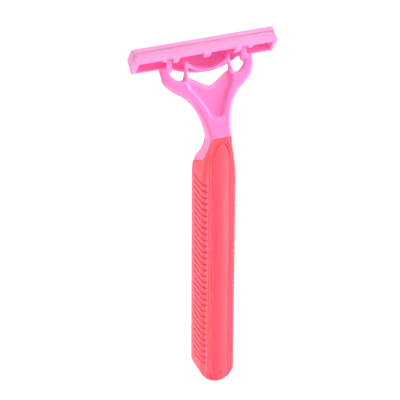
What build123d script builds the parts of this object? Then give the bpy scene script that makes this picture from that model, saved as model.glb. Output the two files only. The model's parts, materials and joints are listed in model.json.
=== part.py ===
"""Twin-blade pivoting disposable razor, lying on its blade side with its travel cover on.

Row frame: X runs along the cartridge, the head points to -Y, +Z is up, and the origin is
the centre of the bottom of the razor's box. Three sets of planes place every sketch:
the handle's own (across, forward, up), the leaning fork's, and the cartridge's.
"""
from build123d import *
import os
from math import atan2, cos, radians, sin, tan

os.makedirs("parts", exist_ok=True)

# ---- Handle ----
handle_width = 10.5
handle_depth = 11.2
back_corner = 3.0
front_corner = 1.2
straight_height = 69.8          # where the shoulder starts to narrow
neck_height = 84.4              # where the fork starts to lean, and the sleeve ends on the back
neck_width = 6.6
# The shoulder's sections: height, width, depth, rear and front radius.
shoulder = ((70.6, 10.48, 11.19, 3.0, 1.2), (72.0, 10.3, 11.0, 2.9, 1.25), (73.8, 9.85, 10.4, 2.8, 1.4),
            (76.7, 8.9, 8.6, 2.4, 1.6), (79.6, 7.9, 6.9, 2.0, 1.6))
# The neck's sections up the fork: rise, lean in degrees, narrowing, depth, radius, back inset.
neck_sections = ((0, 17.5, 0, 5.6, 1.3, 0), (3, 35, 0, 4.7, 1.2, 0.05), (6, 35, 0.2, 3.7, 0.9, 0.2),
                 (9, 35, 1.0, 2.2, 0.7, 0.2))
tongue_width = 6.4              # the stiff core inside the soft sleeve
tongue_back = 2.0
tongue_bottom = 4.0
spine_back = 9.9                # the core's exposed front spine starts here
sleeve_top_front = 73.4         # the sleeve's top edge climbs from the spine to the back
sleeve_top_side = 77.2
sleeve_side_forward = 3.0
sleeve_top_forward = 0.8        # how far round the corner it reaches at the neck

# ---- Grip grooves and back panel ----
groove_count = 31
groove_pitch = 2.03
groove_width = 0.7
groove_length = 6.6
groove_depth = 0.4
groove_middle = 4.6             # forward of the back
lowest_groove = 8.2
panel_width = 5.3
panel_thickness = 1.3
panel_bottom = 1.6
panel_top = 82.4
panel_arch = 8.0
moat_width = 0.3
moat_depth = 0.4
dimple_height = 3.6
dimple_radius = 0.8

# ---- Fork ----
fork_lean = 35.0                # degrees forward of the handle
arm_depth = 2.6
arm_inner = 10.8
arm_outer = 13.4
arm_top = 21.6                  # up the fork
arm_tip_depth = 1.8             # thinned where the guard-side wall swings back to it
arm_tip_length = 3.0
web_back = 0.5                  # the web's back lies this far in from the arms' back
web_front = 1.7
knuckle_inner = 10.35
knuckle_outer = 12.05
knuckle_radius = 0.95
knuckle_root_insets = (0.1, 1.6)   # where its root lies in the arm's end
knuckle_root_radius = 0.1
knuckle_overlap = 1.0           # how far the root reaches down into the arm
pin_radius = 0.5
pin_inner = 8.6
pin_clearance = 0.05

# ---- Return spring ----
leg_root = 6.7                  # half the distance between the legs at the web
leg_root_place = (11.2, 99.0)   # forward and up, in the handle's frame
leg_tip = 6.2
leg_tip_place = (12.8, 103.4)
leg_width = 0.7
leg_depth = 1.0
band_sag = 2.3
band_thickness = 0.6
band_depth = 1.3

# ---- Cartridge, covered: 'depth' runs from its front to its back, 'drop' from cap to guard ----
cartridge_length = 43.0
cartridge_depth = 4.75
cartridge_drop = 6.85
cartridge_tilt = 53.8           # degrees from the handle's line back to the cartridge's depth
top_edge_forward = 11.7         # the cap side's rear edge, in the handle's frame
top_edge_height = 105.8
frame_front = 1.0
wall = 0.9
lower_wall_drop = 5.85
tray_end = 1.4
tray_floor = 0.7                # thickness under the blade seat
tray_depth = 2.1                # the tray's deepest level, below the knee in its floor
tray_knee_drop = 4.1
tray_open = 5.0                 # past the back
seat_bottom = 4.5
pivot_depth = 4.3
pivot_drop = 2.1
lug_radius = 1.05
inner_lug = (8.35, 10.1)
outer_stop = (12.3, 13.5)
centre_tab = 2.16
centre_tab_drop = 2.2
tab_root = 4.0
tab_depth = 5.35
belly_half_width = 10.5
belly_reach = 2.9

# ---- Blade pack ----
blade_length = 37.5
blade_thickness = 0.1
blade_angle = 25.0              # blades to the shaving plane
edge_depth = 1.05
lower_edge_drop = 4.7
lower_blade_width = 4.0
upper_blade_width = 2.2
blade_gap = 0.6                 # the spacer's thickness
upper_setback = 1.5
spacer_setback = 0.9
spacer_width = 2.8
pack_length = 38.4
rivet_pitch = 13.0
rivet_radius = 0.5
rivet_clearance = 0.03
rivet_setback = 2.6
rivet_root = 0.5                # how far the rivets reach into the seat
rivet_length = 1.4
cap_setback = 1.95
cap_nose_drop = 2.4
strip_depth = 0.3
strip_drop = (1.15, 1.95)
guard_drop = (5.0, 5.9)
guard_base = 1.6
fin_depth = 0.25
fin_count = 4
fin_width = 0.12

# ---- Travel cover ----
cover_plate = 0.7
cover_lip = 0.6
cover_lip_depth = 1.6
cover_end = 0.9
cover_end_depth = 2.8
cover_clearance = 0.05

# ---- The pose on the table ----
tilt = radians(cartridge_tilt)
drop_forward = cos(tilt)                      # one unit of drop, in the handle's frame
drop_height = -sin(tilt)
front_top_forward = top_edge_forward + cartridge_depth * sin(tilt)
front_top_height = top_edge_height + cartridge_depth * cos(tilt)
guard_forward = front_top_forward + cartridge_drop * drop_forward
guard_height = front_top_height + cartridge_drop * drop_height
rest = atan2(guard_forward - handle_depth, guard_height - front_corner)
tail_y = ((back_corner + front_top_forward) * sin(rest) + front_top_height * cos(rest)) / 2
tail_z = guard_forward * cos(rest) - guard_height * sin(rest)

# The handle's frame: x across, y forward to the blade side, z up from the tail.
handle = Plane(origin=(0, tail_y, tail_z), x_dir=(-1, 0, 0), z_dir=(0, -cos(rest), sin(rest)))


def at(x, forward, height):
    """A point of the handle's frame, in the row's frame."""
    return handle.from_local_coords(Vector(x, forward, height))


def heading(x, forward, height):
    """A direction of the handle's frame, in the row's frame."""
    return at(x, forward, height) - handle.origin


across = heading(1, 0, 0)
ahead = heading(0, 1, 0)
fork_up = heading(0, sin(radians(fork_lean)), cos(radians(fork_lean)))
rearward = heading(0, -sin(tilt), -cos(tilt))
guardward = heading(0, drop_forward, drop_height)


def section_plane(height):
    """Square to the handle: local x across, local y forward."""
    return handle.offset(height)


def side_plane(x):
    """A side view: local x forward, local y up the handle."""
    return Plane(origin=at(x, 0, 0), x_dir=ahead, z_dir=across)


def back_plane(forward):
    """The back view: local x across, local y up the handle, extruding backward."""
    return Plane(origin=at(0, forward, 0), x_dir=across, z_dir=-ahead)


def fork_plane(inset):
    """The fork's back face moved in by inset: local x across, local y up the fork."""
    face = Plane(origin=at(0, 0, neck_height), x_dir=across, z_dir=across.cross(fork_up))
    return face.offset(-inset)


def neck_plane(rise, lean):
    """Across the neck, rise up the fork from its foot: local x across, local y to its front."""
    origin = at(0, 0, neck_height) + fork_up * rise
    return Plane(origin=origin, x_dir=across, z_dir=heading(0, sin(radians(lean)), cos(radians(lean))))


def cartridge_plane(x):
    """The cartridge's end view: local x is depth, local y is drop."""
    origin = at(x, front_top_forward, front_top_height)
    return Plane(origin=origin, x_dir=rearward, z_dir=across)


def shelf_plane(drop):
    """Along the cartridge: local x across, local y is depth, extruding to the guard."""
    origin = at(0, front_top_forward, front_top_height) + guardward * drop
    return Plane(origin=origin, x_dir=across, z_dir=guardward)


def handle_section(width, depth, rear_radius, front_radius, inset=0):
    """A rounded section with its back at y = inset."""
    with Locations((0, inset)):
        Rectangle(width, depth, align=(Align.CENTER, Align.MIN))
    fillet(vertices().group_by(Axis.Y)[0], rear_radius)
    fillet(vertices().group_by(Axis.Y)[-1], front_radius)


def panel_outline(margin):
    """The back panel's outline, let out by margin."""
    half = panel_width / 2 + margin
    shoulder = panel_top - panel_arch
    foot = panel_bottom + panel_width / 2
    with BuildLine() as outline:
        Line((half, foot), (half, shoulder))
        EllipticalCenterArc((0, shoulder), half, panel_arch + margin, start_angle=0, arc_size=180)
        Line((-half, shoulder), (-half, foot))
        CenterArc((0, foot), half, 180, 180)
    make_face(outline.edges())


def both_sides(*points):
    """The right half's points, followed by their mirror image in order round the outline."""
    return list(points) + [(-x, y) for x, y in reversed(points) if x > 0]


# ================= Handle =================

# The outer form that the core and the sleeve share, up to the neck.
with BuildPart() as handle_form:
    with BuildSketch(back_plane(0)):
        tail_radius = handle_width / 2
        with BuildLine():
            Line((tail_radius, straight_height), (tail_radius, tail_radius))
            CenterArc((0, tail_radius), tail_radius, 0, -180)
            Line((-tail_radius, tail_radius), (-tail_radius, straight_height))
            Line((-tail_radius, straight_height), (tail_radius, straight_height))
        make_face()
    extrude(amount=-handle_depth)
    length_axis = Axis(handle.origin, handle.z_dir)
    depth_axis = Axis(handle.origin, ahead)
    broad_faces = faces().filter_by(Plane(handle.origin, z_dir=ahead)).sort_by(depth_axis)
    back_rim = broad_faces[0].edges().sort_by(length_axis)[:-1]
    front_rim = broad_faces[-1].edges().sort_by(length_axis)[:-1]
    fillet(back_rim, back_corner)
    fillet(front_rim, front_corner)
    with BuildSketch(section_plane(straight_height)):
        handle_section(handle_width, handle_depth, back_corner, front_corner)
    for height, width, depth, rear_radius, front_radius in shoulder:
        with BuildSketch(section_plane(height)):
            handle_section(width, depth, rear_radius, front_radius)
    for rise, lean, narrowing, depth, radius, inset in neck_sections:
        with BuildSketch(neck_plane(rise, lean)):
            handle_section(neck_width - narrowing, depth, radius, radius, inset)
    loft()

# What the soft sleeve takes of that form: the back and both sides, stepped down at the top.
with BuildPart() as sleeve_zone:
    with BuildSketch(side_plane(-handle_width)):
        Polygon((-1, -1), (spine_back, -1), (spine_back, sleeve_top_front),
                (sleeve_side_forward, sleeve_top_side), (sleeve_top_forward, neck_height),
                (-1, neck_height), align=None)
    extrude(amount=2 * handle_width)
    with BuildSketch(section_plane(tongue_bottom)):
        with Locations((0, tongue_back)):
            Rectangle(tongue_width, handle_depth, align=(Align.CENTER, Align.MIN))
    extrude(amount=neck_height, mode=Mode.SUBTRACT)

# ================= Cartridge stations used by the fork =================

pivot = at(0, front_top_forward, front_top_height) + rearward * pivot_depth + guardward * pivot_drop


def fork_outline():
    """The fork seen square to its back: two arms rising from the neck, with a V between."""
    with BuildLine() as outline:
        outer = Spline((neck_width / 2, 0), (4.3, 6.5), (5.6, 9.9), (8.0, 13.0), (11.0, 15.4),
                       (13.0, 18.2), (arm_outer, arm_top), tangents=((0, 1), (0, 1)))
        Line(outer @ 1, (arm_inner, arm_top))
        inner = Spline((arm_inner, arm_top), (10.3, 19.4), (8.6, 17.9), (leg_root - 0.4, 18.5),
                       tangents=((0, -1), (-0.8, 0.3)))
        Line(inner @ 1, (0, 15.1))
        mirror(about=Plane.YZ)
        Line((-neck_width / 2, 0), (neck_width / 2, 0))
    make_face(outline.edges())


def web_outline():
    """The recessed web between the arms' ridges."""
    Polygon(*both_sides((0, 6.6), (2.6, 9.6), (5.0, 13.4), (7.4, 16.4), (8.0, 19.5)), align=None)


with BuildPart() as handle_core:
    add(handle_form.part)
    with BuildSketch(fork_plane(0)):
        fork_outline()
    extrude(amount=-arm_depth)
    add(sleeve_zone.part, mode=Mode.SUBTRACT)
    with BuildSketch(fork_plane(0)):
        web_outline()
    extrude(amount=-web_back, mode=Mode.SUBTRACT)
    with BuildSketch(fork_plane(web_front)):
        web_outline()
    extrude(amount=-arm_depth, mode=Mode.SUBTRACT)
    with BuildSketch(fork_plane(arm_tip_depth)):
        with Locations((0, arm_top)):
            Rectangle(2 * arm_outer + 1, 2 * arm_tip_length)
    extrude(amount=-arm_depth, mode=Mode.SUBTRACT)
    # A knuckle carries each arm up into the tray, with a trunnion pin on its inner side.
    for side in (-1, 1):
        start, end = sorted((side * knuckle_inner, side * knuckle_outer))
        hub = side_plane(start).to_local_coords(pivot)
        with BuildSketch(side_plane(start)):
            with Locations((hub.X, hub.Y)):
                Circle(knuckle_radius)
            for inset in knuckle_root_insets:
                arm_end = fork_plane(inset).from_local_coords(Vector(0, arm_top))
                root = side_plane(start).to_local_coords(arm_end)
                with Locations((root.X, root.Y - knuckle_overlap)):
                    Circle(knuckle_root_radius)
            make_hull()
        extrude(amount=end - start)
        pin_start = min(side * pin_inner, side * knuckle_outer)
        with BuildSketch(side_plane(pin_start)):
            with Locations((hub.X, hub.Y)):
                Circle(pin_radius)
        extrude(amount=knuckle_outer - pin_inner)
handle_core.part.label = "handle_core"
export_step(handle_core.part, "parts/handle_core.step")

with BuildPart() as grip_sleeve:
    add(handle_form.part)
    add(sleeve_zone.part, mode=Mode.INTERSECT)
    with BuildSketch(back_plane(panel_thickness)):
        panel_outline(0)
    extrude(amount=handle_depth, mode=Mode.SUBTRACT)
    with BuildSketch(back_plane(moat_depth)):
        panel_outline(moat_width)
    extrude(amount=handle_depth, mode=Mode.SUBTRACT)
    groove_centre = (groove_middle, lowest_groove + groove_pitch * (groove_count - 1) / 2)
    for side in (-1, 1):
        with BuildSketch(side_plane(side * handle_width / 2)):
            with Locations(groove_centre):
                with GridLocations(groove_pitch, groove_pitch, 1, groove_count):
                    SlotOverall(groove_length, groove_width)
        extrude(amount=-side * groove_depth, mode=Mode.SUBTRACT)
grip_sleeve.part.label = "grip_sleeve"
export_step(grip_sleeve.part, "parts/grip_sleeve.step")

with BuildPart() as back_panel:
    with BuildSketch(back_plane(0)):
        panel_outline(0)
    extrude(amount=-panel_thickness)
    with Locations(at(0, 0, dimple_height)):
        Sphere(dimple_radius, mode=Mode.SUBTRACT)
back_panel.part.label = "back_panel"
export_step(back_panel.part, "parts/back_panel.step")

with BuildPart() as return_spring:
    for side in (-1, 1):
        root_point = at(side * leg_root, *leg_root_place)
        tip_point = at(side * leg_tip, *leg_tip_place)
        leg_plane = Plane(origin=root_point, x_dir=across, z_dir=(tip_point - root_point).normalized())
        with BuildSketch(leg_plane):
            Rectangle(leg_width, leg_depth)
        extrude(amount=(tip_point - root_point).length)
    band_forward, band_height = leg_tip_place
    with BuildSketch(back_plane(band_forward - band_depth / 2)):
        with BuildLine():
            crest = leg_tip + leg_width / 2
            ThreePointArc((-crest, band_height), (0, band_height - band_sag), (crest, band_height))
            Line((crest, band_height), (crest, band_height - band_thickness))
            ThreePointArc((crest, band_height - band_thickness),
                          (0, band_height - band_sag - band_thickness),
                          (-crest, band_height - band_thickness))
            Line((-crest, band_height - band_thickness), (-crest, band_height))
        make_face()
    extrude(amount=-band_depth)
return_spring.part.label = "return_spring"
export_step(return_spring.part, "parts/return_spring.step")

# ================= Cartridge =================

end = cartridge_length / 2
cavity_half = pack_length / 2 + 0.1


def block(half_length, points, mode=Mode.ADD):
    """An outline of (depth, drop) points, run along the cartridge both ways from its middle."""
    with BuildSketch(cartridge_plane(-half_length)) as profile:
        Polygon(*points, align=None)
    extrude(profile.sketch, amount=2 * half_length, mode=mode)


def rectangle_points(depth, drop):
    """The corners of a (depth, drop) rectangle, each given as (low, high)."""
    return [(depth[0], drop[0]), (depth[1], drop[0]), (depth[1], drop[1]), (depth[0], drop[1])]


def cross_bar(span, depth, drop, mode=Mode.ADD):
    """A block from span[0] to span[1] along the cartridge."""
    with BuildSketch(cartridge_plane(span[0])) as profile:
        Polygon(*rectangle_points(depth, drop), align=None)
    extrude(profile.sketch, amount=span[1] - span[0], mode=mode)


def spans(low, high):
    """One span on each side of the middle."""
    return ((low, high), (-high, -low))


def seat_depth(drop):
    """The depth of the lower blade's underside at a given drop."""
    return edge_depth + (lower_edge_drop - drop) * tan(radians(blade_angle))


relief = cover_lip + cover_clearance
lip_back = cover_lip_depth + cover_clearance
seat_top = wall + 0.1

# The blade pack is laid up on the seat: 'back' runs along a blade from the lower edge, 'up'
# is square to the blades, towards the front.
slope = radians(blade_angle)


def pack_point(back, up):
    """A place in the blade pack as (depth, drop)."""
    depth = edge_depth + back * sin(slope) - up * cos(slope)
    return depth, lower_edge_drop - back * cos(slope) - up * sin(slope)


def layer_points(setback, width, bottom, thickness):
    """The outline of one layer of the pack."""
    corners = ((0, 0), (width, 0), (width, thickness), (0, thickness))
    return [pack_point(setback + back, bottom + up) for back, up in corners]


pack_origin = cartridge_plane(0).from_local_coords(Vector(*pack_point(rivet_setback, 0)))
pack_up = cartridge_plane(0).from_local_coords(Vector(*pack_point(rivet_setback, 1))) - pack_origin
rivet_plane = Plane(origin=pack_origin - pack_up * rivet_root, x_dir=across, z_dir=pack_up)


def rivet_rounds(radius, mode):
    """Three rounds through the pack, square to the blades, one for each rivet."""
    with BuildSketch(rivet_plane) as rounds:
        with GridLocations(rivet_pitch, rivet_pitch, 3, 1):
            Circle(radius)
    extrude(rounds.sketch, amount=rivet_length, mode=mode)


with BuildPart() as cartridge_frame:
    block(end, rectangle_points((frame_front, cartridge_depth), (0, cartridge_drop)))
    # The cover's lips and ends wrap these stepped-in edges.
    block(end + 1, rectangle_points((0, lip_back), (-1, relief)), Mode.SUBTRACT)
    block(end + 1, rectangle_points((0, lip_back), (cartridge_drop - relief, 8)), Mode.SUBTRACT)
    for span in spans(end - cover_end - cover_clearance, end + 1):
        cross_bar(span, (0, cover_end_depth + cover_clearance), (-1, 8), Mode.SUBTRACT)
    # The blade pack's seat, with the gap in front of the lower edge that lets it rinse through.
    block(cavity_half, [(0, seat_top), (seat_depth(seat_top), seat_top),
                        (seat_depth(seat_bottom), seat_bottom), (0, seat_bottom)], Mode.SUBTRACT)
    block(cavity_half, rectangle_points((0, guard_base), (seat_bottom, guard_drop[1])), Mode.SUBTRACT)
    # The hollow back: a tray whose floor follows the blades' slope.
    block(end - tray_end, [(tray_open, wall), (seat_depth(wall) + tray_floor, wall),
                           (tray_depth, tray_knee_drop), (tray_depth, lower_wall_drop),
                           (tray_open, lower_wall_drop)], Mode.SUBTRACT)
    # The belly that the spring bears on.
    with BuildSketch(shelf_plane(lower_wall_drop)):
        with BuildLine():
            belly = ThreePointArc((-belly_half_width, cartridge_depth),
                                  (0, cartridge_depth + belly_reach),
                                  (belly_half_width, cartridge_depth))
            Polyline(belly @ 1, (belly_half_width, tab_root), (-belly_half_width, tab_root), belly @ 0)
        make_face()
    extrude(amount=cartridge_drop - lower_wall_drop)
    # The tab, the bearing lugs and the arms' outer stops hang from the cap-side wall.
    cross_bar((-centre_tab / 2, centre_tab / 2), (tab_root, tab_depth), (0, centre_tab_drop))
    for span in spans(*inner_lug):
        cross_bar(span, (pivot_depth - lug_radius, tab_depth), (0, pivot_drop))
        with BuildSketch(cartridge_plane(span[0])):
            with Locations((pivot_depth, pivot_drop)):
                Circle(lug_radius)
        extrude(amount=span[1] - span[0])
        with BuildSketch(cartridge_plane(span[0])):
            with Locations((pivot_depth, pivot_drop)):
                Circle(pin_radius + pin_clearance)
        extrude(amount=span[1] - span[0], mode=Mode.SUBTRACT)
    for span in spans(*outer_stop):
        cross_bar(span, (tab_root, tab_depth), (0, wall))
    rivet_rounds(rivet_radius, Mode.SUBTRACT)
cartridge_frame.part.label = "cartridge_frame"
export_step(cartridge_frame.part, "parts/cartridge_frame.step")

upper_blade_up = blade_thickness + blade_gap
layers = {
    "lower_blade": (0, lower_blade_width, 0, blade_thickness, blade_length),
    "blade_spacer": (spacer_setback, spacer_width, blade_thickness, blade_gap, pack_length),
    "upper_blade": (upper_setback, upper_blade_width, upper_blade_up, blade_thickness, blade_length),
}
for name, (setback, width, bottom, thickness, length) in layers.items():
    with BuildPart() as layer:
        block(length / 2, layer_points(setback, width, bottom, thickness))
        rivet_rounds(rivet_radius + rivet_clearance, Mode.SUBTRACT)
    layer.part.label = name
    export_step(layer.part, f"parts/{name}.step")

with BuildPart() as cartridge_cap:
    nose = pack_point(cap_setback, upper_blade_up + blade_thickness)
    heel = pack_point(upper_setback + upper_blade_width, upper_blade_up + blade_thickness)
    block(pack_length / 2, [(frame_front, seat_top), (heel[0], seat_top), heel, nose,
                            (frame_front, cap_nose_drop)])
    block(blade_length / 2, rectangle_points((0, frame_front + strip_depth), strip_drop), Mode.SUBTRACT)
    rivet_rounds(rivet_radius, Mode.SUBTRACT)
cartridge_cap.part.label = "cartridge_cap"
export_step(cartridge_cap.part, "parts/cartridge_cap.step")

with BuildPart() as lubricating_strip:
    block(blade_length / 2, rectangle_points((frame_front, frame_front + strip_depth), strip_drop))
lubricating_strip.part.label = "lubricating_strip"
export_step(lubricating_strip.part, "parts/lubricating_strip.step")

with BuildPart() as guard_strip:
    block(pack_length / 2, rectangle_points((frame_front + fin_depth, guard_base), guard_drop))
    fin_pitch = (guard_drop[1] - guard_drop[0] - fin_width) / (fin_count - 1)
    for fin in range(fin_count):
        fin_drop = guard_drop[0] + fin * fin_pitch
        block(pack_length / 2, rectangle_points((frame_front, guard_base), (fin_drop, fin_drop + fin_width)))
guard_strip.part.label = "guard_strip"
export_step(guard_strip.part, "parts/guard_strip.step")

with BuildPart() as blade_rivets:
    rivet_rounds(rivet_radius, Mode.ADD)
blade_rivets.part.label = "blade_rivets"
export_step(blade_rivets.part, "parts/blade_rivets.step")

with BuildPart() as travel_cover:
    block(end, rectangle_points((0, cover_end_depth), (0, cartridge_drop)))
    inner_end = end - cover_end
    block(inner_end, rectangle_points((cover_plate, cover_end_depth + 1),
                                      (cover_lip, cartridge_drop - cover_lip)), Mode.SUBTRACT)
    block(inner_end, rectangle_points((cover_lip_depth, cover_end_depth + 1), (-1, cartridge_drop + 1)),
          Mode.SUBTRACT)
travel_cover.part.label = "travel_cover"
export_step(travel_cover.part, "parts/travel_cover.step")
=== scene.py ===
import json
from math import cos, pi, radians, sin, tan

import bpy
import numpy as np
from mathutils import Matrix, Vector


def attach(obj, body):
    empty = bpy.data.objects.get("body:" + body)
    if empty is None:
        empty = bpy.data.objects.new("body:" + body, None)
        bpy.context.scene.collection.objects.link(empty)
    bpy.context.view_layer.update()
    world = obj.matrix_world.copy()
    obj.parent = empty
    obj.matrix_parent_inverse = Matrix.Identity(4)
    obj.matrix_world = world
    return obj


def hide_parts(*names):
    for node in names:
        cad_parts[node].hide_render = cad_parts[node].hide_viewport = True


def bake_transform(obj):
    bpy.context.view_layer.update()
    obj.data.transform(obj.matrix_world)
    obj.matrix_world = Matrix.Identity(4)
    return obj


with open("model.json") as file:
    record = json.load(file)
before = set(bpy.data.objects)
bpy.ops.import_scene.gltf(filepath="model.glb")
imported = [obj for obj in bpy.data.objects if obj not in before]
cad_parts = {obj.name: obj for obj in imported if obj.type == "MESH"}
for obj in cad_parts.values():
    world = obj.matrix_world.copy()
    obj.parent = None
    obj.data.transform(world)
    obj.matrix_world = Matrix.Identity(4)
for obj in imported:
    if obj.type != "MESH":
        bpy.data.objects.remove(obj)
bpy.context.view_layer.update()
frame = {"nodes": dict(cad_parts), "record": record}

# Lengths are in millimetres up to the point where a mesh is made; the frame is in metres.
MM = 0.001

# ---- The handle's frame and the cartridge's frame, from the record's mounts ----
mounts = {mount["name"]: mount for mount in frame["record"]["mounts"]}
across = Vector((-1, 0, 0))
ahead = Vector(mounts["spine_face"]["axis"]).normalized()
upward = Vector(mounts["neck_hanger"]["axis"]).normalized()
neck_height = 84.4
neck_hanger_forward = 2.8
tail_to_hanger = upward * neck_height + ahead * neck_hanger_forward
tail = Vector(mounts["neck_hanger"]["pos_m"]) - tail_to_hanger * MM
rearward = -Vector(mounts["cover_face"]["axis"]).normalized()
guardward = across.cross(rearward)
cartridge_drop = 6.85
cartridge_origin = Vector(mounts["cover_face"]["pos_m"]) - guardward * (cartridge_drop / 2) * MM


def placed(points, origin, *directions):
    """Points in millimetres along three directions, as an array in the row's frame."""
    rows = np.array([list(d) for d in directions])
    return np.asarray(points, float) @ rows * MM + np.array(origin)


def in_handle(points):
    """From across, forward and height."""
    return placed(points, tail, across, ahead, upward)


def in_cartridge(points):
    """From across, depth behind the cover's face, and drop from the cap side."""
    return placed(points, cartridge_origin, across, rearward, guardward)


# ================= Mesh tools =================

def make_piece(name, points, faces, material, body):
    """A smooth-shaded mesh in one material. It rides on a CAD body and fills a material slot."""
    mesh = bpy.data.meshes.new(name)
    mesh.from_pydata(points.tolist(), [], faces)
    mesh.validate()
    mesh.polygons.foreach_set("use_smooth", [True] * len(mesh.polygons))
    mesh.materials.append(material)
    piece = bpy.data.objects.new(name, mesh)
    bpy.context.scene.collection.objects.link(piece)
    if body:
        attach(piece, body)
    return piece


def weld(points, faces, tolerance=1e-3):
    """Merges points closer than the tolerance and drops the faces that this leaves with no area."""
    keys = np.round(points / tolerance).astype(np.int64)
    _, first, inverse = np.unique(keys, axis=0, return_index=True, return_inverse=True)
    welded = inverse.reshape(-1)[faces]
    kept = []
    for face in welded.tolist():
        corners = [c for i, c in enumerate(face) if c != face[i - 1]]
        if len(set(corners)) == len(corners) and len(corners) > 2:
            kept.append(corners)
    return points[first], kept


def grid_faces(rows, columns):
    """Quads over a grid of points laid out row by row."""
    corner = np.arange((rows - 1) * columns).reshape(rows - 1, columns)[:, :-1]
    return np.stack([corner, corner + 1, corner + columns + 1, corner + columns], -1).reshape(-1, 4)


def mirrored(grid):
    """A half grid [rows, columns, 3] starting on the middle plane, with its mirror image joined on."""
    left = grid[:, :0:-1] * np.array([-1, 1, 1])
    return np.concatenate([left, grid], axis=1)


def skin(field, *axes):
    """Points and quads of the surface where a sampled field crosses zero (surface nets)."""
    inside = field < 0
    wide, deep, high = (length - 1 for length in field.shape)
    count = sum(inside[i:i + wide, j:j + deep, k:k + high].astype(np.uint8)
                for i in (0, 1) for j in (0, 1) for k in (0, 1))
    mixed = (count > 0) & (count < 8)
    cells = np.argwhere(mixed)
    number = np.full(mixed.shape, -1, np.int64)
    number[mixed] = np.arange(len(cells))
    total = np.zeros((len(cells), 3))
    hits = np.zeros(len(cells))
    for axis in range(3):
        others = [k for k in range(3) if k != axis]
        for step in ((0, 0), (0, 1), (1, 0), (1, 1)):
            start = cells.copy()
            start[:, others] += step
            end = start.copy()
            end[:, axis] += 1
            low, high = field[tuple(start.T)], field[tuple(end.T)]
            crosses = (low < 0) != (high < 0)
            share = np.where(crosses, low / np.where(crosses, low - high, 1), 0)
            first = np.stack([axes[k][start[:, k]] for k in range(3)], 1)
            last = np.stack([axes[k][end[:, k]] for k in range(3)], 1)
            total += np.where(crosses[:, None], first + (last - first) * share[:, None], 0)
            hits += crosses
    faces = []
    for axis in range(3):
        b, c = (axis + 1) % 3, (axis + 2) % 3
        low = inside[tuple(slice(0, -1) if k == axis else slice(1, -1) for k in range(3))]
        high = inside[tuple(slice(1, None) if k == axis else slice(1, -1) for k in range(3))]
        for leaving in (True, False):
            place = np.argwhere(low & ~high if leaving else ~low & high)
            place[:, [b, c]] += 1
            corners = []
            for back_b, back_c in ((1, 1), (0, 1), (0, 0), (1, 0)):
                corner = place.copy()
                corner[:, b] -= back_b
                corner[:, c] -= back_c
                corners.append(number[tuple(corner.T)])
            quads = np.stack(corners, 1)
            faces.append(quads if leaving else quads[:, ::-1])
    return total / hits[:, None], np.concatenate(faces).tolist()


def whole(field, xs):
    """A field sampled on the half x >= 0, with its mirror image joined on."""
    return np.concatenate([field[:0:-1], field]), np.concatenate([-xs[:0:-1], xs])


def softened(field, passes):
    """The field with its edges and corners rounded off a little."""
    for _ in range(passes):
        for axis in range(3):
            padded = np.concatenate([field.take([0], axis), field, field.take([-1], axis)], axis)
            size = field.shape[axis]
            parts = [padded.take(range(k, k + size), axis) for k in range(3)]
            field = (parts[0] + 2 * parts[1] + parts[2]) / 4
    return field


# ================= Field tools =================

def ease(share):
    """0 to 1, smoothly."""
    share = np.clip(share, 0, 1)
    return share * share * (3 - 2 * share)


def rounded_edge(a, b, radius):
    """Where the half-spaces a < 0 and b < 0 meet, with a rounded edge."""
    return (np.minimum(np.maximum(a + radius, b + radius), 0)
            + np.hypot(np.maximum(a + radius, 0), np.maximum(b + radius, 0)) - radius)


def blended(a, b, width):
    """Both solids together, with a fillet between them."""
    near = np.maximum(width - np.abs(a - b), 0) / width
    return np.minimum(a, b) - near * near * width / 4


def polygon_field(x, y, corners):
    """Signed distance to a polygon, negative inside."""
    nearest = np.full(np.broadcast(x, y).shape, np.inf)
    inside = np.zeros(nearest.shape, bool)
    for (ax, ay), (bx, by) in zip(corners, corners[1:] + corners[:1]):
        ex, ey = bx - ax, by - ay
        if abs(ex) + abs(ey) < 1e-9:
            continue
        share = np.clip(((x - ax) * ex + (y - ay) * ey) / (ex * ex + ey * ey), 0, 1)
        nearest = np.minimum(nearest, np.hypot(x - ax - share * ex, y - ay - share * ey))
        if ey:
            crosses = (ay > y) != (by > y)
            inside ^= crosses & (x < ax + ex * (y - ay) / ey)
    return np.where(inside, -nearest, nearest)


def curve_through(knots, steps=10):
    """A smooth line of points through the knots."""
    knots = np.array(knots, float)
    ends = np.vstack([2 * knots[0] - knots[1], knots, 2 * knots[-1] - knots[-2]])
    line = []
    for a, b, c, d in zip(ends, ends[1:], ends[2:], ends[3:]):
        for t in np.arange(steps) / steps:
            line.append(0.5 * (2 * b + (c - a) * t + (2 * a - 5 * b + 4 * c - d) * t ** 2
                               + (3 * b - a - 3 * c + d) * t ** 3))
    return [tuple(p) for p in line] + [tuple(knots[-1])]


# ================= The handle's form, shared by the core and the sleeve =================

tail_radius = 5.25
form_knots = {
    "height": [0, 60, 67, 69.8, 72.2, 73.8, 75.2, 76.8, 78.6, 80.8, 84.4, 87],
    "half": [5.25, 5.25, 5.25, 5.24, 5.1, 4.9, 4.7, 4.43, 4.1, 3.68, 3.3, 3.25],
    "depth": [11.2, 11.2, 11.2, 11.2, 10.95, 10.35, 9.6, 8.45, 7.25, 6.5, 5.8, 5.5],
    "rear": [3.0, 3.0, 3.0, 3.0, 2.9, 2.75, 2.6, 2.4, 2.1, 1.7, 1.3, 1.2],
    "front": [1.2, 1.2, 1.2, 1.2, 1.3, 1.4, 1.5, 1.6, 1.6, 1.5, 1.3, 1.2],
}
knot_heights = np.array(form_knots["height"], float)


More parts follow.
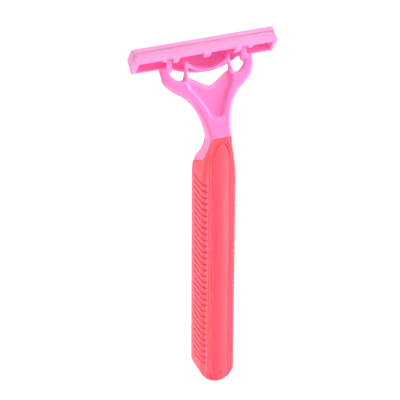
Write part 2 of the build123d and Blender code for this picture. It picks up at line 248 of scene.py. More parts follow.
def along_form(key, height):
    """One of the form's sizes at a height, as a smooth curve through its knots."""
    values = np.array(form_knots[key], float)
    slopes = np.gradient(values, knot_heights)
    place = np.clip(np.searchsorted(knot_heights, height, side="right") - 1, 0, len(values) - 2)
    gap = knot_heights[place + 1] - knot_heights[place]
    t = np.clip((height - knot_heights[place]) / gap, 0, 1)
    return (values[place] * (1 + 2 * t) * (1 - t) ** 2 + slopes[place] * gap * t * (1 - t) ** 2
            + values[place + 1] * t * t * (3 - 2 * t) + slopes[place + 1] * gap * t * t * (t - 1))


# Where the sleeve ends and the core shows, as forward against height.
seam_heights = [0, 72.6, 73.3, 74.4, 75.5, 76.4, 77.4, 79.0, 81.0, 82.8, 85.0]
seam_forwards = [9.9, 9.9, 9.2, 7.0, 4.7, 3.4, 2.6, 1.9, 1.2, 0.75, 0.5]


def seam_forward(height):
    """How far forward the sleeve reaches on the handle's side."""
    return np.interp(height, seam_heights, seam_forwards)


# ================= Materials =================

def node(tree, kind, **values):
    """A shader node with some of its settings and inputs set; a space in a name is written _."""
    made = tree.nodes.new(kind)
    for key, value in values.items():
        if hasattr(made, key):
            setattr(made, key, value)
        else:
            made.inputs[key.replace("_", " ")].default_value = value
    return made


def new_material(name):
    """A material with its node tree and its shader."""
    material = bpy.data.materials.new(name)
    material.use_nodes = True
    tree = material.node_tree
    return material, tree, tree.nodes["Principled BSDF"]


def colour_ramp(tree, noise, *stops):
    """A ramp over a noise, between two stops of (place, colour)."""
    ramp = node(tree, "ShaderNodeValToRGB")
    for element, (place, colour) in zip(ramp.color_ramp.elements, stops):
        element.position = place
        element.color = (*colour, 1)
    tree.links.new(noise.outputs["Fac"], ramp.inputs["Fac"])
    return ramp


def moulded(name, light, dark, roughness, grain, bump=0.02, scatter=0.0, radius=(1, .4, .5)):
    """Moulded polymer: a slow colour flow, a fine skin grain in the bump, and uneven gloss."""
    flow = 0.35
    material, tree, shader = new_material(name)
    link = tree.links.new
    place = node(tree, "ShaderNodeTexCoord")
    slow = node(tree, "ShaderNodeTexNoise", Scale=90.0, Detail=3.0, Roughness=0.5)
    fine = node(tree, "ShaderNodeTexNoise", Scale=grain, Detail=4.0, Roughness=0.6)
    link(place.outputs["Object"], slow.inputs["Vector"])
    link(place.outputs["Object"], fine.inputs["Vector"])
    ramp = colour_ramp(tree, slow, (0.5 - flow, dark), (0.5 + flow, light))
    link(ramp.outputs["Color"], shader.inputs["Base Color"])
    gloss = node(tree, "ShaderNodeMapRange", From_Min=0.3, From_Max=0.7, To_Min=roughness * 0.9,
                 To_Max=roughness * 1.1)
    link(slow.outputs["Fac"], gloss.inputs["Value"])
    link(gloss.outputs["Result"], shader.inputs["Roughness"])
    relief = node(tree, "ShaderNodeBump", Strength=bump, Distance=0.0001)
    link(fine.outputs["Fac"], relief.inputs["Height"])
    link(relief.outputs["Normal"], shader.inputs["Normal"])
    shader.inputs["IOR"].default_value = 1.49
    shader.inputs["Subsurface Weight"].default_value = scatter
    shader.inputs["Subsurface Radius"].default_value = radius
    shader.inputs["Subsurface Scale"].default_value = 0.0012
    return material


def brushed_steel(name):
    """Ground blade steel: long fine scratches in the tint, the gloss and the bump."""
    material, tree, shader = new_material(name)
    link = tree.links.new
    place = node(tree, "ShaderNodeTexCoord")
    stretch = node(tree, "ShaderNodeMapping")
    stretch.inputs["Scale"].default_value = (60.0, 4000.0, 4000.0)
    scratches = node(tree, "ShaderNodeTexNoise", Scale=1.0, Detail=5.0, Roughness=0.6)
    link(place.outputs["Object"], stretch.inputs["Vector"])
    link(stretch.outputs["Vector"], scratches.inputs["Vector"])
    ramp = colour_ramp(tree, scratches, (0.3, (0.52, 0.53, 0.55)), (0.7, (0.74, 0.75, 0.77)))
    link(ramp.outputs["Color"], shader.inputs["Base Color"])
    gloss = node(tree, "ShaderNodeMapRange", To_Min=0.18, To_Max=0.38)
    link(scratches.outputs["Fac"], gloss.inputs["Value"])
    link(gloss.outputs["Result"], shader.inputs["Roughness"])
    relief = node(tree, "ShaderNodeBump", Strength=0.08, Distance=0.00005)
    link(scratches.outputs["Fac"], relief.inputs["Height"])
    link(relief.outputs["Normal"], shader.inputs["Normal"])
    shader.inputs["Metallic"].default_value = 1.0
    return material


pink = moulded("pink_polypropylene", (0.99, 0.24, 0.56), (0.97, 0.225, 0.54), 0.28, 1500.0,
               scatter=0.3, radius=(1, .25, .35))
pale = moulded("pink_head_polypropylene", (0.99, 0.285, 0.55), (0.97, 0.27, 0.53), 0.42, 1500.0,
               scatter=0.8, radius=(2, 1.6, 1.8))
coral = moulded("coral_elastomer", (0.98, 0.076, 0.12), (0.97, 0.066, 0.108), 0.42, 2600.0,
                bump=0.12, scatter=0.25, radius=(1, .7, .7))
steel = brushed_steel("blade_steel")
white = moulded("white_polystyrene", (0.86, 0.86, 0.84), (0.80, 0.80, 0.78), 0.35, 1800.0)
strip = moulded("lubricating_polymer", (0.80, 0.88, 0.86), (0.66, 0.80, 0.78), 0.55, 3500.0,
                bump=0.25, scatter=0.2)
guard = moulded("guard_elastomer", (0.80, 0.22, 0.45), (0.72, 0.18, 0.40), 0.55, 3000.0, bump=0.15)
rivet = moulded("rivet_metal", (0.72, 0.72, 0.70), (0.62, 0.62, 0.60), 0.3, 5000.0, bump=0.1)
rivet.node_tree.nodes["Principled BSDF"].inputs["Metallic"].default_value = 1.0

# ================= Grip sleeve =================

groove_count = 31
groove_pitch = 2.03
lowest_groove = 8.2
groove_span = (4.2, 11.9)                        # round the section from the middle of the back
groove_radius = 0.45
groove_depth = 0.36
panel_half = 2.65
panel_foot = 4.25
panel_shoulder = 74.4
panel_arch = 8.0
# The ground around the panel, from its edge outward: a moat, a thin bead and a fine groove.
bead_margins = [-0.15, 0.03, 0.2, 0.27, 0.32, 0.4, 0.52, 0.64, 0.74, 0.81, 0.87, 0.93, 0.99, 1.06, 1.15, 1.3]
bead_depths = [0.42, 0.42, 0.40, 0.30, 0.12, 0.03, 0.0, 0.0, 0.02, 0.07, 0.14, 0.17, 0.14, 0.06, 0.01, 0.0]
seam_roll = 0.12
seam_skirt = (0.3, 0.6, 0.9)                     # how far the sleeve's edge runs in under its own face
# The top edge rolls in towards the neck: each ring's rise over the first row, and its pull inward.
lip_rings = ((0.12, 0.12), (0.14, 0.3), (0.14, 0.9))
lip_centre_forward = 2.2
# Rows within one groove's pitch, as shares of it.
groove_rows = np.array([0.5, 0.36, 0.27, 0.225, 0.19, 0.155, 0.12, 0.07,
                        0, -0.07, -0.12, -0.155, -0.19, -0.225, -0.27, -0.36])


def panel_edge(margin, height, turn):
    """How far from the middle the panel's outline, let out by the margin, lies on a row."""
    half = panel_half + margin
    rise = panel_arch + margin
    if turn:
        drop = tail_radius - panel_foot
        if half * tan(turn) < drop:
            return half / cos(turn)
        return sin(turn) * drop + (half ** 2 - (cos(turn) * drop) ** 2) ** 0.5
    if height <= panel_shoulder:
        return half
    if height >= panel_shoulder + rise:
        return 0.0
    return half * (1 - ((height - panel_shoulder) / rise) ** 2) ** 0.5


def girth_at(inset_x, half, rear):
    """The length round the section from the middle of the back to a place that far across."""
    flat = half - rear
    if inset_x <= flat:
        return inset_x
    return flat + rear * float(np.arcsin(min((inset_x - flat) / rear, 1)))


def girth_to_seam(forward, half, rear):
    """The length round the section from the middle of the back to a place that far forward."""
    flat = half - rear
    if forward < rear:
        return flat + rear * float(np.arccos((rear - forward) / rear))
    return flat + rear * pi / 2 + forward - rear


def section_point(girth, half, rear):
    """Across, forward and the outward direction, at a length round the section."""
    flat = half - rear
    if girth <= flat:
        return girth, 0.0, 0.0, -1.0
    turn = (girth - flat) / rear
    if turn <= pi / 2:
        return flat + rear * sin(turn), rear - rear * cos(turn), sin(turn), -cos(turn)
    return half, rear + girth - flat - rear * pi / 2, 1.0, 0.0


def groove_sink(girth, height):
    """How deep the nearest side groove is here: a rounded slot that wraps the back corner."""
    nearest = min(max(round((height - lowest_groove) / groove_pitch), 0), groove_count - 1)
    rise = height - lowest_groove - nearest * groove_pitch
    middle, reach = sum(groove_span) / 2, (groove_span[1] - groove_span[0]) / 2
    run = max(abs(girth - middle) - (reach - groove_radius), 0)
    share = (rise * rise + run * run) ** 0.5 / groove_radius
    return groove_depth * (1 - share ** 2) if share < 1 else 0.0


def sleeve_rows():
    """Heights and tail angles of the sleeve's rows, closer together where the shape changes."""
    top_rows = [neck_height, neck_height - 0.1, neck_height - 0.25]
    past_arch = 1.4
    arch_rows = panel_shoulder + (panel_arch + past_arch) * np.sin(np.linspace(pi / 2, 0, 46))
    arch_rows = arch_rows[arch_rows < neck_height - 0.3]
    last_groove = lowest_groove + groove_pitch * (groove_count - 1)
    plain_rows = np.linspace(panel_shoulder, last_groove + groove_pitch / 2, 22)[1:-1]
    steps = groove_rows * groove_pitch
    ribs = np.concatenate([lowest_groove + k * groove_pitch + steps for k in range(groove_count)[::-1]])
    heights = np.concatenate([top_rows, arch_rows, plain_rows, ribs])
    return [(h, 0.0) for h in heights] + [(tail_radius, t) for t in np.linspace(0, pi / 2, 36)]


def sleeve_grid():
    """Half of the sleeve: rows down the handle and round its tail, columns from its back to the seam."""
    ground_columns = 44
    grid = []
    for height, turn in sleeve_rows():
        half = float(along_form("half", height))
        rear = float(along_form("rear", height))
        end = girth_to_seam(float(seam_forward(height)), half, rear)
        girths = [girth_at(max(panel_edge(m, height, turn), 0), half, rear) for m in bead_margins]
        margins = [max(m, height - panel_shoulder - panel_arch) for m in bead_margins]
        sinks = [float(np.interp(m, bead_margins, bead_depths)) for m in margins]
        girths += list(np.linspace(girths[-1], end, ground_columns + 1)[1:])
        sinks += [0.0] * ground_columns
        row = []
        for girth, sink in zip(girths, sinks):
            x, y, out_x, out_y = section_point(girth, half, rear)
            if turn == 0:
                sink += groove_sink(girth, height)
            to_seam = end - girth
            if to_seam < seam_roll:
                sink += seam_roll - (seam_roll ** 2 - (seam_roll - to_seam) ** 2) ** 0.5
            row.append((x - out_x * sink, y - out_y * sink))
        x, y, out_x, out_y = section_point(end, half, rear)
        row += [(x - out_x * skirt, y - out_y * skirt) for skirt in seam_skirt]
        if turn:
            grid.append([(x * cos(turn), y, tail_radius - x * sin(turn)) for x, y in row])
        else:
            grid.append([(x, y, height) for x, y in row])
    grid = np.array(grid)
    lip = []
    for rise, pull in lip_rings:
        ring = grid[0].copy()
        inward = np.array([0, lip_centre_forward]) - ring[:, :2]
        inward /= np.linalg.norm(inward, axis=1)[:, None]
        ring[:, :2] += inward * pull
        ring[:, 2] += rise
        lip.append(ring)
    return np.concatenate([np.array(lip[::-1]), grid])


def coral_piece(name, half_grid):
    """A coral piece of the handle, from half a grid of points that starts on the middle plane."""
    full = mirrored(half_grid)
    faces = grid_faces(*full.shape[:2])
    if half_grid[0, 0, 2] > half_grid[-1, 0, 2]:
        faces = faces[:, ::-1]
    points, faces = weld(full.reshape(-1, 3), faces)
    return make_piece(name, in_handle(points), faces, coral, "handle")


sleeve = coral_piece("grip_sleeve_skin", sleeve_grid())
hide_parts("grip_sleeve")

# ================= Back panel =================

crown = 0.3                                      # how far the panel's edge lies below its middle
foot_fall, foot_reach = 0.10, 3
dimple_height = 3.6
dimple_radius = 0.8
dimple_depth = 0.32
panel_roll = 0.22
panel_skirt = (0.3, 0.45)                        # below the edge, down into the moat


def panel_grid():
    """Half of the panel: a crowned face with a rolled edge, a skirt into the moat and a dimple."""
    foot = panel_foot - panel_half
    top = panel_shoulder + panel_arch
    tail_end = 10
    heights = np.concatenate([
        panel_foot - panel_half * np.sin(np.linspace(pi / 2, 0, 24)),
        np.linspace(panel_foot, tail_end, 40)[1:],
        np.linspace(tail_end, panel_shoulder, 60)[1:],
        panel_shoulder + panel_arch * np.sin(np.linspace(0, pi / 2, 50))[1:]])
    across_shares = np.sin(np.linspace(0, pi / 2, 30))
    grid = []
    for height in heights:
        half = panel_edge(0, height, 0)
        if height < panel_foot:
            half = max(panel_half ** 2 - (panel_foot - height) ** 2, 0) ** 0.5
        row = []
        for share in across_shares:
            x = half * share
            rim = max(min(half - x, height - foot, (top - height) * 0.9), 0)
            sink = float(crown * (x / panel_half) ** 2 + foot_fall * ease(1 - (height - foot) / foot_reach))
            if rim < panel_roll:
                sink += panel_roll - (panel_roll ** 2 - (panel_roll - rim) ** 2) ** 0.5
            away = ((x / dimple_radius) ** 2 + ((height - dimple_height) / dimple_radius) ** 2) ** 0.5
            if away < 1:
                sink += dimple_depth * (1 - away ** 2)
            row.append((x, sink, height))
        row += [(half, crown + drop, height) for drop in panel_skirt]
        grid.append(row)
    return np.array(grid)


panel = coral_piece("back_panel_skin", panel_grid())
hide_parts("back_panel")

# ================= Core: spine, neck and fork =================

fork_lean = radians(35)
cartridge_tilt = radians(53.8)
front_top = np.array([15.533, 108.605])          # forward and height of the cap side's front edge
rear_way = np.array([-sin(cartridge_tilt), -cos(cartridge_tilt)])
guard_way = np.array([cos(cartridge_tilt), -sin(cartridge_tilt)])
# The pivot lies behind the cover's face and down from the cap side's face.
pivot_depth, pivot_drop = 4.3, 2.1
pivot_forward, pivot_height = front_top + rear_way * pivot_depth + guard_way * pivot_drop

# Outlines in the fork's own leaning frame: half the width against the rise from the neck.
outer_line = curve_through([
    (3.35, -3), (3.4, 0), (3.7, 3.2), (4.5, 6.5), (5.85, 9.7), (8.1, 12.7), (11.2, 15.1), (13.5, 17.8),
    (14.1, 21.6), (14.1, 22.6)])
inner_line = curve_through([
    (11.3, 22.6), (11.25, 21.2), (10.75, 19.5), (9.0, 17.95), (7.6, 18.1), (6.9, 18.6)])
notch_line = [(0.0, 15.4), (1.2, 15.75), (5.6, 18.55)]
web_line = [
    (0, 5.4), (1.6, 5.6), (2.5, 6.9), (3.3, 9.0), (4.8, 12.0), (6.8, 14.9), (7.2, 17.0), (7.2, 20.0),
    (0, 20.0)]


def both_halves(points):
    """A half outline with its mirror image, in order round the shape."""
    return list(points) + [(-x, y) for x, y in reversed(points) if x > 1e-6]


fork_outline = both_halves(outer_line + inner_line + notch_line[::-1])
web_outline = both_halves(web_line)
notch_outline = both_halves(notch_line + [(6.9, 18.75), (6.9, 26)])
# The rises at which the outlines are sampled.
fork_foot, fork_top, fork_step = -6.0, 26.0, 0.1
neck_rises = [-6, 0, 2.5, 5, 8, 11, 16, 26]
neck_depths = [5.9, 5.7, 5.1, 4.3, 3.4, 2.95, 2.65, 2.6]
web_back, web_front = 1.3, 1.9                   # the web's two faces, below the fork's back
web_ramp, slim_ramp = 1.3, 1.2                   # how wide the slopes down to those faces are
notch_dip, notch_reach, notch_ramp = 0.30, 1.5, 1.0
tip_rise, tip_ramp, tip_depth = 18.6, 1.0, 1.8   # where the arms thin out, and to what
arm_round = 1.15
# Under the sleeve the core is set in: a little at the seam, and more further in.
seam_inset, seam_start, seam_ramp = 0.2, 0.3, 0.25
sleeve_inset, sleeve_start, sleeve_ramp = 0.7, 0.3, 0.8
form_past_neck, fork_past_neck = 0.5, 0.1
fork_blend, knuckle_blend = 0.15, 0.6
knuckle_edge, pin_edge = 0.25, 0.08
knuckle_root = np.array([13.1, 101.4])           # forward and height
knuckle_radius, knuckle_middle, knuckle_half = 0.92, 11.2, 0.85
pin_radius, pin_middle, pin_half = 0.5, 9.8, 1.2


def form_field(x, y, z, zs):
    """The handle's form up to the neck, set in under the sleeve deeper than its grooves and moat."""
    half, depth, rear_radius, front_radius = (
        along_form(key, zs)[None, None, :] for key in ("half", "depth", "rear", "front"))
    tail = np.hypot(x, np.minimum(z - tail_radius, 0)) - tail_radius
    inset = np.where(z < tail_radius, tail, x - half)
    rear = rounded_edge(inset, -y, rear_radius)
    front = rounded_edge(inset, y - depth, front_radius)
    form = np.where(y < depth / 2, rear, front)
    covered = np.minimum(seam_forward(zs)[None, None, :] - y, neck_height - z)
    form = form + seam_inset * ease(covered / seam_ramp + seam_start)
    form = form + sleeve_inset * ease((covered - sleeve_start) / sleeve_ramp)
    leaning = (z - neck_height) * sin(fork_lean) - y * cos(fork_lean)
    return np.maximum(np.maximum(form, leaning), z - neck_height - form_past_neck)


def fork_field(xs, ys, zs):
    """The fork. Its outline and thickness are worked out on its back face, then read at every point."""
    rises = np.arange(fork_foot, fork_top, fork_step)
    table_x, table_rise = xs[:, None], rises[None, :]
    outline, web, notch = (
        polygon_field(table_x, table_rise, line) for line in (fork_outline, web_outline, notch_outline))
    dip = notch_dip * ease(1 - notch / notch_reach) * ease(-web / notch_ramp)
    recess = web_back * ease(-web / web_ramp) + dip
    slim = ease(-web / slim_ramp)
    neck = np.interp(table_rise, neck_rises, neck_depths) + 0 * table_x
    thick = neck * (1 - slim) + web_front * slim
    thick = thick - np.maximum(thick - tip_depth, 0) * ease((table_rise - tip_rise) / tip_ramp)
    rise = ys[:, None] * sin(fork_lean) + (zs[None, :] - neck_height) * cos(fork_lean)
    deep = ys[:, None] * cos(fork_lean) - (zs[None, :] - neck_height) * sin(fork_lean)
    place = np.clip((rise - rises[0]) / fork_step, 0, len(rises) - 1.001)
    low = place.astype(int)
    share = place - low
    outline, recess, thick = (
        table[:, low] * (1 - share) + table[:, low + 1] * share for table in (outline, recess, thick))
    half_thick = (thick - recess) / 2
    radius = np.minimum(arm_round, half_thick * 0.95)
    fork = rounded_edge(outline, np.abs(deep[None] - (thick + recess) / 2) - half_thick, radius)
    return np.maximum(fork, -rise[None] - fork_past_neck)


def core_field(xs, ys, zs):
    """The form, the fork, the knuckles up into the tray and the pins that the cartridge turns on."""
    x, y, z = xs[:, None, None], ys[None, :, None], zs[None, None, :]
    core = blended(form_field(x, y, z, zs), fork_field(xs, ys, zs), fork_blend)
    to_y, to_z = y - pivot_forward, z - pivot_height
    root_y, root_z = knuckle_root - (pivot_forward, pivot_height)
    along = np.clip((to_y * root_y + to_z * root_z) / (root_y ** 2 + root_z ** 2), 0, 1)
    arm = np.hypot(to_y - along * root_y, to_z - along * root_z) - knuckle_radius
    knuckle = rounded_edge(arm, np.abs(x - knuckle_middle) - knuckle_half, knuckle_edge)
    core = blended(core, knuckle, knuckle_blend)
    pin = rounded_edge(np.hypot(to_y, to_z) - pin_radius, np.abs(x - pin_middle) - pin_half, pin_edge)
    return np.minimum(core, pin)


def spaced(*stops):
    """Sample places: pairs of (up to, step) from a start."""
    start, places = stops[0], [stops[0]]
    for stop, step in stops[1:]:
        count = max(int(round((stop - start) / step)), 1)
        places += list(np.linspace(start, stop, count + 1)[1:])
        start = stop
    return np.array(places)


def evened(piece, passes):
    """Takes the sampling steps out of a skin."""
    smooth = piece.modifiers.new("even_out", "SMOOTH")
    smooth.factor = 0.5
    smooth.iterations = passes


core_step = 0.17
core_x = spaced(0, (14.6, core_step))
core_y = spaced(-0.7, (15.2, core_step))
core_z = spaced(-0.5, (6, core_step), (69, 1.2), (106, core_step))
field, full_x = whole(core_field(core_x, core_y, core_z).astype(np.float32), core_x)
points, faces = skin(field, full_x, core_y, core_z)
core = make_piece("handle_core_skin", in_handle(points), faces, pink, "handle")
evened(core, 4)
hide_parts("handle_core")

# ================= Return spring =================

spring_root = np.array([6.75, 11.0, 98.8])
spring_tip = np.array([6.25, 12.8, 103.1])
leg_girth, root_girth, root_reach = 0.55, 0.4, 0.4
leg_flattening = 0.85
band_top = 103.5
band_sag = 3.0
band_half_span, band_end = 6.55, 6.6
band_half_thickness = 0.5
band_middle_forward, band_half_depth = 12.7, 1.1
band_edge, band_end_edge, band_blend = 0.4, 0.3, 0.8


def spring_field(xs, ys, zs):
    """One leg, thicker at its root, and half of the band that sags between the two legs."""
    x, y, z = xs[:, None, None], ys[None, :, None], zs[None, None, :]
    way = spring_tip - spring_root
    share = sum((a - spring_root[k]) * way[k] for k, a in enumerate((x, y, z)))
    share = np.clip(share / (way @ way), 0, 1)
    near = [a - spring_root[k] - share * way[k] for k, a in enumerate((x, y, z))]
    girth = leg_girth + root_girth * ease(1 - share / root_reach) ** 2
    leg = np.sqrt(near[0] ** 2 + (near[1] * leg_flattening) ** 2 + near[2] ** 2) - girth
    crest = band_top - band_sag * (1 - np.minimum(x / band_half_span, 1.1) ** 2)
    slope = 2 * band_sag * np.minimum(x, band_half_span) / band_half_span ** 2
    band = (np.abs(z - crest + band_half_thickness) - band_half_thickness) / np.sqrt(1 + slope ** 2)
    band = rounded_edge(band, np.abs(y - band_middle_forward) - band_half_depth, band_edge)
    band = rounded_edge(band, x - band_end, band_end_edge)
    return blended(leg, band, band_blend)


spring_step = 0.11
spring_x = spaced(0, (8.2, spring_step))
spring_y = spaced(9.6, (14.4, spring_step))
spring_z = spaced(96.8, (104.6, spring_step))
field, full_x = whole(spring_field(spring_x, spring_y, spring_z), spring_x)
points, faces = skin(field, full_x, spring_y, spring_z)
spring = make_piece("return_spring_skin", in_handle(points), faces, pink, None)
evened(spring, 3)
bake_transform(spring)
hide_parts("return_spring")

# ================= Cartridge frame and travel cover =================

# Depth runs back from the cover's face, and drop from the cap side's face.
head_half = 21.5
past = 9                                         # beyond any face of the head
frame_front, frame_back = 1.0, 4.75
frame_edge, frame_end_edge = 0.28, 0.45
# The cover's rim meets the tray at the seat depth, on a ledge along the cap side and the guard side.
cover_seat_depth = 1.53
cap_rim, guard_rim = 0.65, 6.2
seam_gap_depth, seam_gap = 2.75, 0.09
end_step_depth, end_step_half, end_step_middle = 2.82, 1.0, head_half + 0.08
blade_slope = radians(25)
blade_drops = (1.0, 4.5)
seat_foot_depth, seat_foot_drop = 1.05, 4.7
pack_half = 19.3
guard_depth, guard_drops = 1.6, (4.4, 5.9)
cap_wall, end_wall, seat_wall = 0.9, 1.4, 0.7
recess_floor, recess_foot = 2.1, 4.1
belly_centre_depth, belly_radius, belly_half = -12.81, 20.46, 10.5
belly_front, belly_start, belly_blend = 4.2, 5.85, 0.4
lug_middle, lug_half, lug_front = 9.225, 0.875, 3.25
lug_eye, lug_bore, bore_half = 1.05, 0.55, 1.2
tab_half, tab_front, tab_back, tab_drop = 1.08, 4.0, 5.35, 2.2
stop_middle, stop_half, stop_drop = 12.9, 0.6, 0.9
cover_wall = 0.6
cover_flat_edge, cover_end_edge = 0.4, 0.95
cover_depth = 2.8
cover_plate, cover_window_depth = 0.7, 1.64
cover_end_wall = 0.9


def seat_depth(drop):
    """How deep the sloping seat of the blades lies at a drop."""
    return seat_foot_depth + (seat_foot_drop - drop) * tan(blade_slope)


def box_field(x, depth, drop, half_span, depths, drops, middle=0.0):
    """A block along the cartridge, as a field."""
    across_box = np.abs(x - middle) - half_span
    depth_box = np.maximum(depths[0] - depth, depth - depths[1])
    drop_box = np.maximum(drops[0] - drop, drop - drops[1])
    return np.maximum(np.maximum(across_box, depth_box), drop_box)


def prism_field(x, depth, drop, half_span, corners):
    """A block along the cartridge with a polygon of (depth, drop) as its section."""
    return np.maximum(polygon_field(depth[0], drop[0], corners)[None], np.abs(x) - half_span)


def frame_field(xs, ds, ps):
    """The tray: a block with its cuts, then the belly, the tab, the lugs and the arm stops."""
    x, d, p = xs[:, None, None], ds[None, :, None], ps[None, None, :]
    long_edge = rounded_edge(d - frame_back, -p, frame_edge)
    long_edge = rounded_edge(long_edge, p - cartridge_drop, frame_edge)
    body = rounded_edge(np.maximum(long_edge, frame_front - d), x - head_half, frame_end_edge)
    seat_top, seat_foot = blade_drops
    blade_seat = [(-1, seat_top), (seat_depth(seat_top), seat_top), (seat_depth(seat_foot), seat_foot),
                  (-1, seat_foot)]
    back_recess = [(past, cap_wall), (seat_depth(cap_wall) + seat_wall, cap_wall),
                   (recess_floor, recess_foot), (recess_floor, belly_start), (past, belly_start)]
    for hollow in (
            box_field(x, d, p, head_half + 1, (-1, cover_seat_depth), (-1, cap_rim)),
            box_field(x, d, p, head_half + 1, (-1, seam_gap_depth), (-1, seam_gap)),
            box_field(x, d, p, head_half + 1, (-1, cover_seat_depth), (guard_rim, past)),
            box_field(x, d, p, end_step_half, (-1, end_step_depth), (-1, past), middle=end_step_middle),
            prism_field(x, d, p, pack_half, blade_seat),
            box_field(x, d, p, pack_half, (-1, guard_depth), guard_drops),
            prism_field(x, d, p, head_half - end_wall, back_recess)):
        body = np.maximum(body, -hollow)
    belly = np.maximum(np.hypot(x, d - belly_centre_depth) - belly_radius, x - belly_half)
    belly = np.maximum(np.maximum(belly, belly_front - d), belly_start - p)
    body = blended(body, np.maximum(belly, p - cartridge_drop), belly_blend)
    tab = box_field(x, d, p, tab_half, (tab_front, tab_back), (0, tab_drop))
    lug = box_field(x, d, p, lug_half, (lug_front, tab_back), (0, pivot_drop), middle=lug_middle)
    from_pivot = np.hypot(d - pivot_depth, p - pivot_drop)
    eye = np.maximum(from_pivot - lug_eye, np.abs(x - lug_middle) - lug_half)
    body = np.minimum(np.minimum(body, tab), np.minimum(lug, eye))
    body = np.maximum(body, -np.maximum(from_pivot - lug_bore, np.abs(x - lug_middle) - bore_half))
    arm_stop = box_field(x, d, p, stop_half, (tab_front, tab_back), (0, stop_drop), middle=stop_middle)
    return np.minimum(body, arm_stop)


def cover_field(xs, ds, ps):
    """The travel cover: a shallow tray, open at its back."""
    x, d, p = xs[:, None, None], ds[None, :, None], ps[None, None, :]
    outside = rounded_edge(-p, x - head_half, cover_end_edge)
    outside = rounded_edge(outside, p - cartridge_drop, cover_end_edge)
    outside = np.maximum(rounded_edge(outside, -d, cover_flat_edge), d - cover_depth)
    inner_half = head_half - cover_end_wall
    cavity = box_field(x, d, p, inner_half, (cover_plate, past), (cover_wall, cartridge_drop - cover_wall))
    window = box_field(x, d, p, inner_half, (cover_window_depth, past), (-1, past))
    return np.maximum(np.maximum(outside, -cavity), -window)


head_step = 0.125
head_x = spaced(0, (14.2, head_step), (19, 0.3), (22, head_step))
head_p = spaced(-0.5, (7.35, head_step))
for name, shape, depths, body, replaced in (
        ("cartridge_frame_skin", frame_field, spaced(0.6, (8.2, head_step)), "cartridge", "cartridge_frame"),
        ("travel_cover_skin", cover_field, spaced(-0.5, (3.3, head_step)), "cover", "travel_cover")):
    field, full_x = whole(softened(shape(head_x, depths, head_p), 1), head_x)
    points, faces = skin(field, full_x, depths, head_p)
    piece = make_piece(name, in_cartridge(points), faces, pale, body)
    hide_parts(replaced)

# ================= Finishes on the CAD nodes that stay =================

for name, material in (("lower_blade", steel), ("upper_blade", steel), ("blade_spacer", white),
                       ("cartridge_cap", white), ("lubricating_strip", strip), ("guard_strip", guard),
                       ("blade_rivets", rivet)):
    piece = frame["nodes"][name]
    piece.data.materials.clear()
    piece.data.materials.append(material)

# ================= Stage, light and camera =================

def floor_material():
    """A pale matt sweep that glows enough to read as white."""
    material, tree, shader = new_material("white_sweep")
    noise = node(tree, "ShaderNodeTexNoise", Scale=30.0, Detail=2.0)
    tint = colour_ramp(tree, noise, (0.0, (0.23, 0.23, 0.23)), (1.0, (0.27, 0.27, 0.27)))
    tree.links.new(tint.outputs["Color"], shader.inputs["Base Color"])
    shader.inputs["Roughness"].default_value = 0.9
    shader.inputs["Emission Color"].default_value = (1, 1, 1, 1)
    shader.inputs["Emission Strength"].default_value = 0.85
    return material


def stage_floor():
    """A wide sheet, low enough that the cover can slide off without passing through it."""
    size, cells, level = 1.2, 24, -0.012
    ticks = np.linspace(-size, size, cells + 1)
    points = np.array([(x, y, level) for y in ticks for x in ticks])
    faces = grid_faces(cells + 1, cells + 1).tolist()
    return make_piece("floor", points, faces, floor_material(), None)


floor = stage_floor()

scene = bpy.context.scene
scene.view_settings.view_transform = "Standard"
world = bpy.data.worlds.new("studio")
world.use_nodes = True
scene.world = world
# A light tent: bright round the sides and dimmer overhead, where the camera looks in.
tent_side, tent_top = 1.05, 0.6
sky = world.node_tree
heading = node(sky, "ShaderNodeTexCoord")
split = node(sky, "ShaderNodeSeparateXYZ")
dim = node(sky, "ShaderNodeMapRange", From_Min=0.5, From_Max=0.95, To_Min=tent_side, To_Max=tent_top)
sky.links.new(heading.outputs["Generated"], split.inputs["Vector"])
sky.links.new(split.outputs["Z"], dim.inputs["Value"])
sky.links.new(dim.outputs["Result"], sky.nodes["Background"].inputs["Strength"])


target = Vector(in_handle([(-3.42, 8.19, 60.07)])[0])


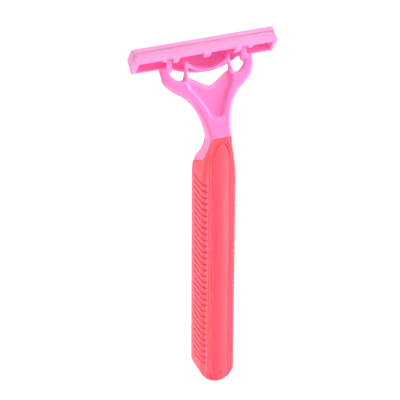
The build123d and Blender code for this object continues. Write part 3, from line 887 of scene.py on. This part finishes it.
def handle_way(x, forward, height):
    """A direction of the handle's frame, in the row's frame."""
    return across * x + ahead * forward + upward * height


def oriented(place, direction, spin=0.0):
    """The matrix of a light or camera at a place that looks back along a direction, rolled by spin."""
    toward = direction.normalized()
    level_right = Vector((0, 0, 1)).cross(toward).normalized()
    level_up = toward.cross(level_right)
    right = level_right * cos(spin) + level_up * sin(spin)
    matrix = Matrix((right, toward.cross(right), toward)).transposed().to_4x4()
    matrix.translation = place
    return matrix


def softbox(name, way, distance, size, power, colour):
    """An area light that shines on the target from the way given."""
    lamp = bpy.data.lights.new(name, "AREA")
    lamp.shape = "RECTANGLE"
    lamp.size, lamp.size_y = size
    lamp.energy = power
    lamp.color = colour
    holder = bpy.data.objects.new(name, lamp)
    scene.collection.objects.link(holder)
    direction = Vector(way).normalized()
    holder.matrix_world = oriented(target + direction * distance, direction)


softbox("right_panel", handle_way(0.93, -0.28, 0.22), 0.55, (0.35, 0.45), 3.8, (0.98, 0.95, 1.0))
softbox("grip_panel", handle_way(0.54, -0.68, -0.5), 0.6, (0.16, 0.25), 1.0, (1.0, 0.97, 0.98))
softbox("left_panel", handle_way(-0.6, -0.6, -0.53), 0.55, (0.25, 0.4), 2.6, (1.0, 0.96, 0.97))
softbox("front_panel", handle_way(-0.05, -0.97, 0.1), 0.7, (0.7, 0.7), 1.8, (1.0, 0.97, 1.0))
softbox("head_panel", handle_way(0.28, -0.25, 0.93), 0.6, (0.5, 0.3), 2.2, (1.0, 0.98, 1.0))

view_azimuth, view_elevation, view_roll = radians(34.3), radians(57.13), radians(139.35)
view_distance = 0.75
toward = Vector((sin(view_azimuth) * cos(view_elevation), -cos(view_azimuth) * cos(view_elevation),
                 sin(view_elevation)))
camera_data = bpy.data.cameras.new("camera")
camera_data.sensor_width = 36
camera_data.lens = 234.6
camera_data.clip_end = 10
camera = bpy.data.objects.new("camera", camera_data)
scene.collection.objects.link(camera)
camera.matrix_world = oriented(target + toward * view_distance, toward, view_roll)
scene.camera = camera
